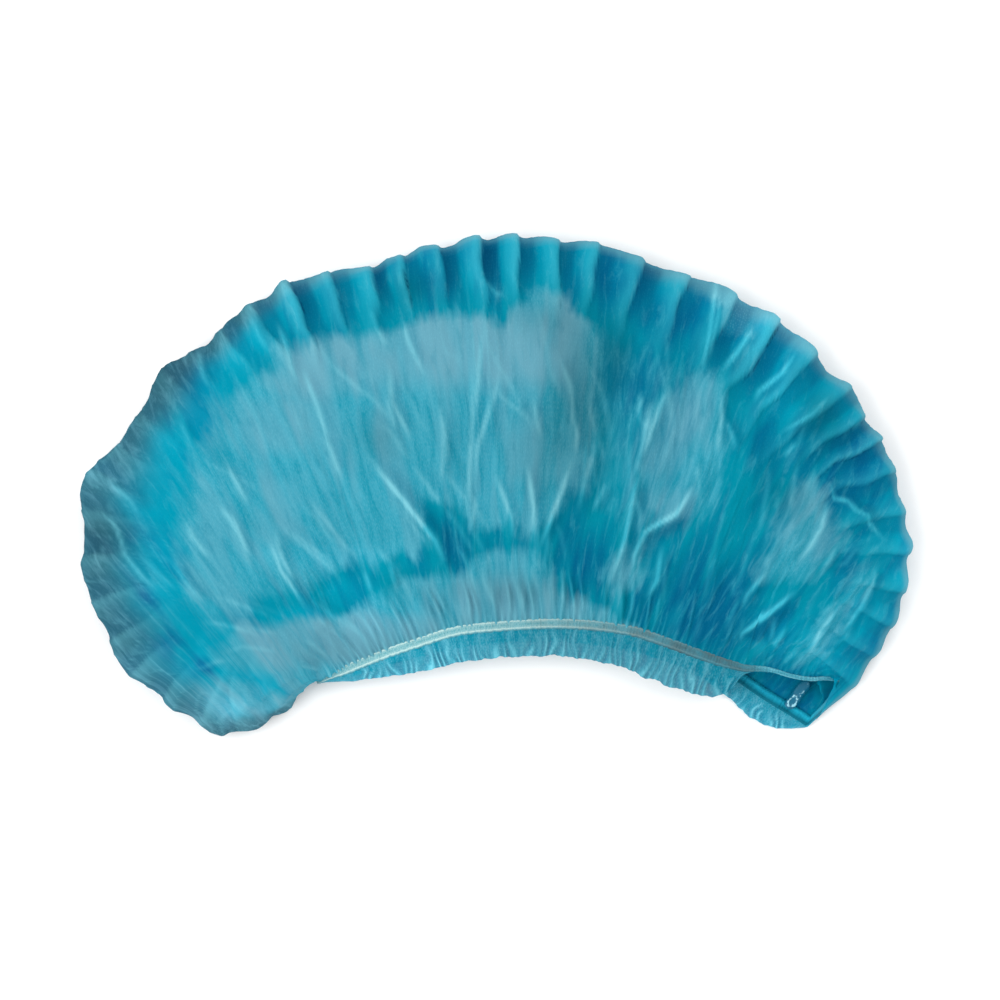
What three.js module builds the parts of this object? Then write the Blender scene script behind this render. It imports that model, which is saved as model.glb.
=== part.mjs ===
// Disposable bouffant cap, lying flat: a hollow cloth bag with a pleated rim, whose mouth
// is gathered by a loop of elastic. Millimetres, +Z up, the cap lies on z = 0.
import * as THREE from 'three';

// Driving dimensions
const CLOTH = 1.2;               // wall of the crown and the ruffle
const CROWN_HEIGHT = 38;         // top of the puffed crown above the floor
const PUFF_REACH = 34;           // distance from the mouth over which the cloth puffs up
const GAP = 0.3;                 // between neighbouring pieces
const ELASTIC_WIDTH = 4.6;
const ELASTIC_THICKNESS = 1.6;
const RUFFLE_LIFT = 2.4;         // how far the ruffle's waves stand up
const STEPS_PER_WAVE = 4;
const RUFFLE_DROOP = 0.012;      // how steeply the ruffle hangs, for each mm above the floor
const RING_STEPS_PER_RUN = 48;   // of the bands round the mouth, along the front or the back
const CORNER_SHARE = 0.08;       // of a run, over which the bands turn into a corner
const PLEATS = 34;               // accordion pleats along the rim
const PLEAT_DEPTH = 1.5;
const STEPS_PER_PLEAT = 4;
const MOUTH_CROWDING = 0.88;     // how strongly the folds bunch at the ends of the mouth
const FOLD_BEND = 0.3;           // share of a fold's length that it keeps square to the mouth
const WELD_LENGTH = 9;
const WELD_WIDTH = 3.2;
const CROWN_COLOR = 0x43a2b8;
const RUFFLE_COLOR = 0x5aa8c0;
const ELASTIC_COLOR = 0xa9c9c2;
const WELD_COLOR = 0x7fc4d8;

// The rim in plan, clockwise from the left corner of the mouth to the right one.
const RIM = [
  { x: -79, y: -83 },
  { x: -93, y: -93.5 },
  { x: -111, y: -98 },
  { x: -133, y: -86 },
  { x: -151, y: -68 },
  { x: -163, y: -42 },
  { x: -164, y: -6 },
  { x: -146, y: 26 },
  { x: -119, y: 55 },
  { x: -84, y: 79 },
  { x: -40, y: 92 },
  { x: 8, y: 98 },
  { x: 57, y: 92 },
  { x: 99, y: 74 },
  { x: 132, y: 49 },
  { x: 154, y: 18 },
  { x: 165, y: -20 },
  { x: 160, y: -53 },
  { x: 146, y: -77 },
  { x: 127, y: -91 },
];

// The front elastic line: its course, its height and the ruffle's width beyond it.
const FRONT_RUN = [
  { x: -72, y: -78, z: 6, ruffle: 1.6 },
  { x: -57, y: -72, z: 10, ruffle: 5 },
  { x: -31, y: -62, z: 14, ruffle: 7 },
  { x: -1, y: -56, z: 16, ruffle: 8 },
  { x: 28, y: -54.5, z: 16, ruffle: 9 },
  { x: 54, y: -58, z: 16, ruffle: 9 },
  { x: 79, y: -65.5, z: 16, ruffle: 9 },
  { x: 98, y: -70.5, z: 16, ruffle: 5 },
  { x: 116, y: -74, z: 14, ruffle: 1.6 },
];

// The back elastic line on the floor; the right corner of the mouth is pulled open.
const BACK_RUN = [
  { x: -71, y: -77, z: 0, ruffle: 1.6 },
  { x: -57, y: -70.5, z: 0, ruffle: 5 },
  { x: -31, y: -60.5, z: 0, ruffle: 6 },
  { x: -1, y: -54.5, z: 0, ruffle: 7 },
  { x: 28, y: -53, z: 0, ruffle: 8 },
  { x: 54, y: -56.5, z: 0, ruffle: 8 },
  { x: 79, y: -64, z: 0, ruffle: 8 },
  { x: 98, y: -73.5, z: 0, ruffle: 8 },
  { x: 115, y: -85, z: 0, ruffle: 1.6 },
];

// A section from the front of the mouth, over the rim, to the back of the mouth: reach runs
// from the mouth (0) to the rim (1), lift from the floor (0) to the crown's height (1), and
// pleat is the share of the rim's pleats that the row carries.
const SECTION = [
  { side: 'front', reach: 0.00, lift: 0.00, pleat: 0.0 },
  { side: 'front', reach: 0.10, lift: 0.25, pleat: 0.0 },
  { side: 'front', reach: 0.26, lift: 0.60, pleat: 0.1 },
  { side: 'front', reach: 0.46, lift: 0.90, pleat: 0.2 },
  { side: 'front', reach: 0.66, lift: 0.98, pleat: 0.5 },
  { side: 'front', reach: 0.83, lift: 0.85, pleat: 0.9 },
  { side: 'front', reach: 0.94, lift: 0.60, pleat: 1.0 },
  { side: 'front', reach: 1.00, lift: 0.30, pleat: 1.0 },
  { side: 'back', reach: 0.97, lift: 0.08, pleat: 0.8 },
  { side: 'back', reach: 0.90, lift: 0.00, pleat: 0.0 },
  { side: 'back', reach: 0.62, lift: 0.00, pleat: 0.0 },
  { side: 'back', reach: 0.30, lift: 0.00, pleat: 0.0 },
  { side: 'back', reach: 0.00, lift: 0.00, pleat: 0.0 },
];

// The welds lie on the lower cloth just inside the corners of the mouth; turn in degrees.
const WELDS = [
  { name: 'end_weld_left', x: -84, y: -80, turn: 35 },
  { name: 'end_weld_right', x: 122, y: -80, turn: -50 },
];

// The main folds and dents of the upper cloth: at is the place along the rim, spread its
// half width there, rise its height, and middle and length its place along the section.
const FOLDS = [
  { at: 0.17, spread: 0.020, rise: 3.0, middle: 0.55, length: 0.35 },
  { at: 0.27, spread: 0.016, rise: -2.5, middle: 0.50, length: 0.30 },
  { at: 0.36, spread: 0.012, rise: 3.5, middle: 0.40, length: 0.30 },
  { at: 0.42, spread: 0.014, rise: -3.0, middle: 0.45, length: 0.30 },
  { at: 0.49, spread: 0.010, rise: 3.5, middle: 0.35, length: 0.28 },
  { at: 0.55, spread: 0.012, rise: -3.5, middle: 0.40, length: 0.30 },
  { at: 0.61, spread: 0.012, rise: 4.0, middle: 0.38, length: 0.30 },
  { at: 0.68, spread: 0.014, rise: -3.0, middle: 0.50, length: 0.32 },
  { at: 0.75, spread: 0.014, rise: 3.5, middle: 0.45, length: 0.32 },
  { at: 0.84, spread: 0.018, rise: -3.0, middle: 0.55, length: 0.35 },
];

const UP = new THREE.Vector3(0, 0, 1);

function lineThrough(rows) {
  return new THREE.CatmullRomCurve3(rows.map((row) => new THREE.Vector3(row.x, row.y, row.z ?? 0)));
}

const rim = lineThrough(RIM);
const frontRun = lineThrough(FRONT_RUN);
const backRun = lineThrough(BACK_RUN);

// The value of one column at a share of the way through a table's rows.
function columnAt(rows, column, share) {
  const place = share * (rows.length - 1);
  const row = Math.min(rows.length - 2, Math.floor(place));
  return THREE.MathUtils.lerp(rows[row][column], rows[row + 1][column], place - row);
}

function mouthShare(along) {
  return along - MOUTH_CROWDING * Math.sin(2 * Math.PI * along) / (2 * Math.PI);
}

function foldRise(along, reach) {
  return FOLDS.reduce((sum, fold) => {
    const across = Math.exp(-(((along - fold.at) / fold.spread) ** 2));
    const lengthwise = Math.exp(-(((reach - fold.middle) / fold.length) ** 2));
    return sum + fold.rise * across * lengthwise * reach;
  }, 0);
}

// The level way out of the mouth, square to its elastic.
function outOfMouth(run, share) {
  return run.getTangentAt(share).setZ(0).normalize().cross(UP);
}

// A point of the crown's outer face: along runs round the rim, row through SECTION. Its
// folds leave the elastic squarely and bend over to their place on the rim, and it stands
// higher where its cloth reaches further from the mouth.
function crownPoint(along, row) {
  const { side, reach, lift, pleat } = SECTION[row];
  const share = mouthShare(along);
  const run = side === 'front' ? frontRun : backRun;
  const mouth = run.getPointAt(share);
  const rimPoint = rim.getPointAt(along);
  const distance = Math.hypot(rimPoint.x - mouth.x, rimPoint.y - mouth.y);
  const bend = mouth.clone().addScaledVector(outOfMouth(run, share), -FOLD_BEND * distance);
  const point = new THREE.QuadraticBezierCurve3(mouth, bend, rimPoint).getPoint(reach);
  const puff = 1 - Math.exp(-distance / PUFF_REACH);
  const wave = Math.cos(2 * Math.PI * PLEATS * along) * PLEAT_DEPTH * pleat * puff;
  point.addScaledVector(rim.getTangentAt(along).cross(UP), -wave);
  point.z = CROWN_HEIGHT * puff * lift;
  if (side === 'front') {
    point.z += mouth.z * (1 - reach) ** 2 + foldRise(along, reach) + 0.5 * wave * (1 - reach);
  }
  return point;
}

// A closed solid from triangles' corner points, with its faces pointing out.
function solidFrom(points, faces) {
  const geometry = new THREE.BufferGeometry();
  geometry.setAttribute('position', new THREE.Float32BufferAttribute(points.flatMap((p) => p.toArray()), 3));
  const volume = faces.reduce((sum, [a, b, c]) => {
    return sum + points[a].dot(points[b].clone().cross(points[c])) / 6;
  }, 0);
  const outward = volume > 0 ? faces : faces.map(([a, b, c]) => [a, c, b]);
  geometry.setIndex(outward.flat());
  geometry.computeVertexNormals();
  return geometry;
}

function quad(a, b, c, d) {
  return [[a, b, c], [a, c, d]];
}

// The crown's outer face as a grid of points, and its inner face one cloth further in.
function crownFaces() {
  const steps = PLEATS * STEPS_PER_PLEAT;
  const rows = SECTION.length;
  const outer = [];
  for (let i = 0; i <= steps; i += 1) {
    for (let j = 0; j < rows; j += 1) {
      outer.push(crownPoint(i / steps, j));
    }
  }
  const at = (i, j) => Math.min(Math.max(i, 0), steps) * rows + Math.min(Math.max(j, 0), rows - 1);
  const inner = outer.map((point, index) => {
    const i = Math.floor(index / rows);
    const j = index % rows;
    const alongRim = outer[at(i + 1, j)].clone().sub(outer[at(i - 1, j)]);
    const acrossRim = outer[at(i, j + 1)].clone().sub(outer[at(i, j - 1)]);
    const inward = acrossRim.cross(alongRim).normalize();
    return point.clone().addScaledVector(inward, CLOTH);
  });
  return { outer, inner, at, steps, rows };
}

// The places round the mouth: along the front, down the right corner, back, and up.
function mouthEdge({ at, steps, rows }) {
  const edge = [];
  for (let i = 0; i < steps; i += 1) edge.push(at(i, 0));
  for (let j = 0; j < rows - 1; j += 1) edge.push(at(steps, j));
  for (let i = steps; i > 0; i -= 1) edge.push(at(i, rows - 1));
  for (let j = rows - 1; j > 0; j -= 1) edge.push(at(0, j));
  return edge;
}

// The crown's two faces, joined by the edge of the cloth round the mouth.
function crownGeometry(faces) {
  const { outer, inner, at, steps, rows } = faces;
  const under = outer.length;
  const triangles = [];
  for (let i = 0; i < steps; i += 1) {
    for (let j = 0; j < rows - 1; j += 1) {
      const corners = [at(i, j), at(i, j + 1), at(i + 1, j + 1), at(i + 1, j)];
      triangles.push(...quad(...corners));
      triangles.push(...quad(...corners.reverse().map((corner) => under + corner)));
    }
  }
  const edge = mouthEdge(faces);
  edge.forEach((a, index) => {
    const b = edge[(index + 1) % edge.length];
    triangles.push(...quad(a, b, under + b, under + a));
  });
  return solidFrom(outer.concat(inner), triangles);
}

// One run of the mouth's line, halfway through the cloth: its points, the way out of the
// mouth at each, the ruffle's width, and the clearance, which grows towards the corners
// because there the bands leave the cloth sideways.
function runPlaces(run, rows, lift, from, to) {
  return Array.from({ length: RING_STEPS_PER_RUN + 1 }, (unused, step) => {
    const share = THREE.MathUtils.lerp(from, to, step / RING_STEPS_PER_RUN);
    const point = run.getPointAt(share);
    point.z += lift * CLOTH / 2;
    const nearCorner = Math.max(0, 1 - Math.min(share, 1 - share) / CORNER_SHARE);
    return {
      point,
      out: outOfMouth(run, share),
      ruffle: columnAt(rows, 'ruffle', share),
      clearance: GAP + nearCorner * CLOTH / 2,
    };
  });
}

// A corner of the mouth follows the end of the crown's cloth from one run to the other.
function cornerPlaces({ outer, inner, at, steps, rows }, along, before, after) {
  const places = [];
  for (let j = 1; j < rows - 1; j += 1) {
    const index = at(along * steps, along ? j : rows - 1 - j);
    const share = j / (rows - 1);
    places.push({
      point: outer[index].clone().lerp(inner[index], 0.5),
      out: before.out.clone().lerp(after.out, share).normalize(),
      ruffle: THREE.MathUtils.lerp(before.ruffle, after.ruffle, share),
      clearance: GAP + CLOTH / 2,
    });
  }
  return places;
}

// The whole line round the mouth, a closed ring of places.
function mouthLine(faces) {
  const front = runPlaces(frontRun, FRONT_RUN, -1, 0, 1);
  const back = runPlaces(backRun, BACK_RUN, 1, 1, 0);
  const right = cornerPlaces(faces, 1, front.at(-1), back[0]);
  const left = cornerPlaces(faces, 0, back.at(-1), front[0]);
  return [...front, ...right, ...back, ...left];
}

// A closed band of cloth or elastic all round the mouth. Its columns give, for a place,
// how far beyond the line each of its points lies and how high its waves lift it there.
function bandGeometry(line, thickness, columns) {
  const points = [];
  line.forEach((place, index) => {
    const ahead = line[(index + 1) % line.length].point;
    const behind = line[(index + line.length - 1) % line.length].point;
    const course = ahead.clone().sub(behind).normalize();
    const out = place.out.clone().setZ(-RUFFLE_DROOP * place.point.z).normalize();
    const across = course.clone().cross(out).normalize();
    [1, -1].forEach((face) => {
      const order = face === 1 ? columns : [...columns].reverse();
      order.forEach((column) => {
        const point = place.point.clone().addScaledVector(out, column.beyond(place));
        point.z += column.wave(place, index) * Math.abs(across.z);
        point.addScaledVector(across, face * thickness / 2);
        points.push(point.setZ(Math.max(point.z, 0)));
      });
    });
  });
  const size = 2 * columns.length;
  const triangles = [];
  for (let k = 0; k < line.length; k += 1) {
    const next = (k + 1) % line.length;
    for (let c = 0; c < size; c += 1) {
      const d = (c + 1) % size;
      triangles.push(...quad(k * size + c, k * size + d, next * size + d, next * size + c));
    }
  }
  return solidFrom(points, triangles);
}

function elasticGeometry(line) {
  const flat = () => 0;
  return bandGeometry(line, ELASTIC_THICKNESS, [
    { beyond: (place) => place.clearance, wave: flat },
    { beyond: (place) => place.clearance + ELASTIC_WIDTH, wave: flat },
  ]);
}

function ruffleGeometry(line) {
  const start = (place) => ELASTIC_WIDTH + 2 * place.clearance;
  const waveAt = (place, index) => {
    const turn = 2 * Math.PI * index / STEPS_PER_WAVE;
    return RUFFLE_LIFT * (1 - Math.cos(turn)) / 2 * Math.min(1, place.ruffle / 8);
  };
  return bandGeometry(line, CLOTH, [
    { beyond: start, wave: () => 0 },
    { beyond: (place) => start(place) + place.ruffle / 2, wave: (place, index) => waveAt(place, index) / 2 },
    { beyond: (place) => start(place) + place.ruffle, wave: waveAt },
  ]);
}

// A weld is a small flat bar with round ends, which holds the gathered end of the sheet.
function weldGeometry() {
  const reach = (WELD_LENGTH - WELD_WIDTH) / 2;
  const outline = new THREE.Shape();
  outline.absarc(reach, 0, WELD_WIDTH / 2, -Math.PI / 2, Math.PI / 2);
  outline.absarc(-reach, 0, WELD_WIDTH / 2, Math.PI / 2, 1.5 * Math.PI);
  return new THREE.ExtrudeGeometry(outline, { depth: CLOTH, bevelEnabled: false, curveSegments: 6 });
}

function addPiece(cap, name, geometry, color, roughness) {
  const material = new THREE.MeshStandardMaterial({ color, roughness, metalness: 0 });
  const piece = new THREE.Mesh(geometry, material);
  piece.name = name;
  cap.add(piece);
  return piece;
}

const faces = crownFaces();
const line = mouthLine(faces);
const cap = new THREE.Group();
addPiece(cap, 'crown', crownGeometry(faces), CROWN_COLOR, 0.85);
addPiece(cap, 'elastic_loop', elasticGeometry(line), ELASTIC_COLOR, 0.6);
addPiece(cap, 'hem_ruffle', ruffleGeometry(line), RUFFLE_COLOR, 0.85);
WELDS.forEach(({ name, x, y, turn }) => {
  const weld = addPiece(cap, name, weldGeometry(), WELD_COLOR, 0.35);
  weld.position.set(x, y, CLOTH + GAP);
  weld.rotation.z = THREE.MathUtils.degToRad(turn);
});

// The origin is the middle of the underside.
const middle = new THREE.Box3().setFromObject(cap).getCenter(new THREE.Vector3());
cap.position.set(-middle.x, -middle.y, 0);

export default cap;
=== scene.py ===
import bpy
import numpy as np
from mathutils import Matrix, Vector


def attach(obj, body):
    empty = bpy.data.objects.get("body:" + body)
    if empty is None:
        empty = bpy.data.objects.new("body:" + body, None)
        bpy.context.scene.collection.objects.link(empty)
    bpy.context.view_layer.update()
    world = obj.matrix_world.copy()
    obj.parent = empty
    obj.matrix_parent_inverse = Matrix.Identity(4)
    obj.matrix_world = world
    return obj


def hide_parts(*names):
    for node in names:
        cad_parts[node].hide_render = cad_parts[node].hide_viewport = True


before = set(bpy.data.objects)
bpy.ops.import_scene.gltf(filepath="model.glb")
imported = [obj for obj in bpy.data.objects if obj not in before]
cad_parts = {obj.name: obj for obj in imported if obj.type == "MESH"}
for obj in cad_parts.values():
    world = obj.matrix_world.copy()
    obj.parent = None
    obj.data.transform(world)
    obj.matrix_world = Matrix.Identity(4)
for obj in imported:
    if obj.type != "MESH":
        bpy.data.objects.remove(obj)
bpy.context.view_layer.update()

# ---- driving dimensions, metres
MM = 0.001
CENTRE = (-0.3 * MM, 0.4 * MM)      # from the tables' origin to the frame's
FLOOR_CLEARANCE, BAND_CLEARANCE = 0.25 * MM, 0.3 * MM
CROWN_HEIGHT = 38 * MM
PUFF_REACH = 34 * MM        # the way from mouth to rim that gives two thirds of the puff
MOUTH_CROWDING = (0.90, 0.10)   # of the cloth toward the mouth's left and right end
FOLD_BEND = 0.3             # the part of its way over which it leaves the mouth squarely
FLAT_LENGTH = 0.66          # the strip's: that of the rim, with nothing added for pleats
FLAT_WIDTH = 0.30           # from one elastic to the other, as far as it is modelled
RIM_LENGTH = 0.666          # from one corner of the mouth to the other
ELASTIC_WIDTH = 5.2 * MM
DRAWN_WIDTH = 4.4 * MM      # the elastic's width that its profile is drawn for
HEM_OVERLAP = 0.7 * MM      # how far the hem starts under the elastic
HEM_TEXTURE = 0.012         # the width of the cloth's texture that the hem shows
FAN_CENTRE = (9 * MM, -205 * MM)    # what the creases of the crown point to
FAN_FROM, FAN_TURN = 2.30, 1.46     # its first direction and how far it turns, radians
STATIONS = 720              # steps of the crown's cloth along the rim
LOOSE_RIDGES = 70           # unnamed small folds scattered over the crown

PLAIN_RIDGE = 2.2           # the height, in millimetres, of a fold that shows in full
TUCK_DRAWN = 0.14           # the tuck's depth in SECTION, as a part of the reach
PLEAT_HEIGHT = 2.2 * MM
CRIMPS, CRIMP_HEIGHT = 92, 0.50 * MM        # gathers along one run of the elastic
GATHERS, GATHER_HEIGHT = 41, 0.9 * MM       # the folds that they run together into
GATHER_PLACE, GATHER_SPREAD = 16 * MM, 13 * MM      # how far from the elastic those are
LIMP_HEIGHT = 0.7                           # the slack edge's wrinkles, millimetres
# The crown's own creases, from broad to fine, and its crumples: heights in millimetres.
BROAD, MIDDLE, FINE, CRUMPLED = 2.1, 0.7, 0.2, 0.3
MIDDLE_BELOW, FINE_BELOW = 0.6, 0.4         # the same on the lower cloth
# How strongly each kind of fold's crests get painted highlight and its grooves painted shade, in
# the colour.
PLEAT_MARKS, CRIMP_MARKS, GATHER_MARKS = (0.95, 1.25), (0.8, 0.28), (0.38, 0.25)
CREASE_MARKS, RIDGE_MARKS, LIMP_MARK = (0.18, 0.22), (0.85, 0.6), 0.16

# The rim in plan, clockwise from the left corner of the mouth to the right one.
RIM = [
    (-79, -83), (-93, -93.5), (-111, -98), (-133, -86), (-151, -68), (-163, -42), (-164, -6),
    (-146, 26), (-119, 55), (-84, 79), (-40, 92), (8, 98), (57, 92), (99, 74), (132, 49),
    (154, 18), (165, -20), (160, -53), (147, -76), (129, -94),
]

# Bumps and notches of the rim's edge: place along the rim, distance outward.
RIM_EDGE = [
    (0, 0), (0.014, 1.8), (0.021, 0.7), (0.033, 2.6), (0.048, 0.7), (0.053, 1.3), (0.072, -1.4),
    (0.086, 0), (0.098, -1.5), (0.124, 1.3), (0.146, -2), (0.187, 1.3), (0.201, -0.7),
    (0.214, -0.9), (0.235, 3.5), (0.268, -1.3), (0.281, -0.1), (0.293, -1.2), (0.322, 3.7),
    (0.336, 1.1), (0.34, 1.3), (0.35, -0.9), (0.367, 1.2), (0.375, 0.3), (0.387, 1.8),
    (0.396, 0.6), (0.407, 2.5), (0.433, 1), (0.438, 1.1), (0.459, -2), (0.471, 0.5), (0.482, 0),
    (0.493, 1.1), (0.507, 0.4), (0.525, 1.7), (0.533, 1.2), (0.539, 1.6), (0.555, 1.2),
    (0.564, 1.9), (0.575, 0.9), (0.605, 2), (0.649, -1.6), (0.679, 2), (0.696, 0.6), (0.708, 1.1),
    (0.725, 0.5), (0.741, 1.4), (0.763, -1.1), (0.778, 1), (0.793, -0.7), (0.811, 0.8),
    (0.821, -0.4), (0.835, 1.1), (0.847, -0.6), (0.858, 0.2), (0.866, -0.9), (0.877, 1.1),
    (0.887, -0.5), (0.9, 1.1), (0.91, 0), (0.922, 0.6), (0.932, -0.5), (0.943, 0.3),
    (0.953, -0.5), (0.968, 1.1), (1, 0),
]

# Where the grooves between the packing pleats meet the rim.
GROOVES = [
    -0.02, 0.021, 0.048, 0.072, 0.098, 0.122, 0.146, 0.172, 0.201, 0.228, 0.252, 0.272, 0.296,
    0.325, 0.343, 0.365, 0.389, 0.415, 0.44, 0.465, 0.484, 0.507, 0.533, 0.555, 0.58, 0.604,
    0.633, 0.663, 0.693, 0.723, 0.753, 0.781, 0.798, 0.815, 0.836, 0.863, 0.887, 0.91, 0.932,
    0.953, 0.975, 1.02,
]

GROOVE_MIDDLE = 0.14        # the part of a pleat from its start to its groove's middle

# A pleat from one groove to the next: part of its width, height, painted highlight of its crest,
# painted shade of its groove.
PLEAT = [
    (0, -0.8, 0, 1), (0.12, -1, 0, 1), (0.3, -0.75, 0, 0.9), (0.48, -0.2, 0, 0.25),
    (0.66, 0.5, 0.3, 0), (0.82, 1, 0.8, 0), (0.93, 0.8, 0.7, 0), (1, -0.8, 0, 1),
]

# How strongly the packing pleats show, for a place along the rim.
PLEAT_STRENGTH = [(0, 0.3), (0.2, 0.35), (0.29, 0.25), (0.35, 0.3), (0.385, 0.45),
                  (0.415, 1), (0.62, 0.95), (0.66, 0.75), (0.7, 0.9), (0.8, 0.75),
                  (0.86, 0.5), (1, 0.45)]

# The front and back elastic lines: x, y, height, and the width of the hem beyond it.
FRONT_RUN = [
    (-71, -78.5, 6, 0.5), (-57, -72, 10, 4.5), (-44, -66.8, 12.5, 8), (-31, -62.4, 14, 10),
    (-16, -57.8, 15, 11), (-1, -56, 16, 11), (28, -54.8, 16, 11.5), (54, -57.6, 16, 13.5),
    (68, -62, 16, 14.5), (79, -66, 16, 14.5), (91, -70.2, 15, 13), (96, -71.6, 15, 10),
    (100, -72.6, 15, 1.5), (109, -73.2, 14, 0.8), (118, -75.8, 13, 0.6), (126, -77.2, 11.5, 0.6),
    (132, -77, 10.5, 0.6), (138, -77.5, 9, 0.6),
]
BACK_RUN = [
    (-71, -77, 0, 0.5), (-57, -70.5, 0, 4), (-31, -60.5, 0, 6), (-1, -54.5, 0, 7),
    (28, -53, 0, 8), (54, -56.5, 0, 8), (79, -64, 0, 8), (98, -77, 0, 7), (109, -84.5, 0, 9),
    (118, -90, 0, 7), (126, -95, 0, 1),
]

# The melted ends of the sheet: node, middle x and y, turn, length, height off the floor.
WELDS = [
    ("end_weld_left", -84, -80, 35, 9, 2),
    ("end_weld_right", 121.5, -84, 46, 13.5, 4),
]

# A section of the cloth from the front of the mouth, over the rim, through the tuck left by
# the packing folds, and back along the floor: reach from mouth to rim, lift from the floor,
# 1 on the lower cloth, how far the row follows the tuck's depth, mesh rows to the next line.
SECTION = [
    (0, 0, 0, 0, 13),
    (0.08, 0.22, 0, 0, 18),
    (0.26, 0.6, 0, 0, 19),
    (0.46, 0.88, 0, 0, 18),
    (0.66, 0.97, 0, 0, 17),
    (0.83, 0.86, 0, 0, 11),
    (0.94, 0.62, 0, 0, 7),
    (1, 0.33, 0.1, 0, 3),
    (0.97, 0.2, 0.2, 0.2, 3),
    (0.9, 0.22, 0.4, 0.7, 3),
    (0.86, 0.24, 0.5, 1, 3),
    (0.9, 0.2, 0.6, 0.7, 3),
    (0.97, 0.14, 0.8, 0.2, 3),
    (0.995, 0.08, 0.9, 0, 3),
    (0.965, 0.02, 1, 0, 3),
    (0.88, 0, 1, 0, 5),
    (0.56, 0, 1, 0, 5),
    (0.24, 0, 1, 0, 4),
    (0, 0, 1, 0, 0),
]

# How far the tuck under the rim reaches in, for a place along the rim.
TUCK_DEPTH = [(0, 2), (0.08, 14), (0.2, 30), (0.3, 26), (0.4, 20), (0.5, 22), (0.6, 26),
              (0.7, 34), (0.8, 38), (0.88, 30), (0.95, 16), (1, 3)]

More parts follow.
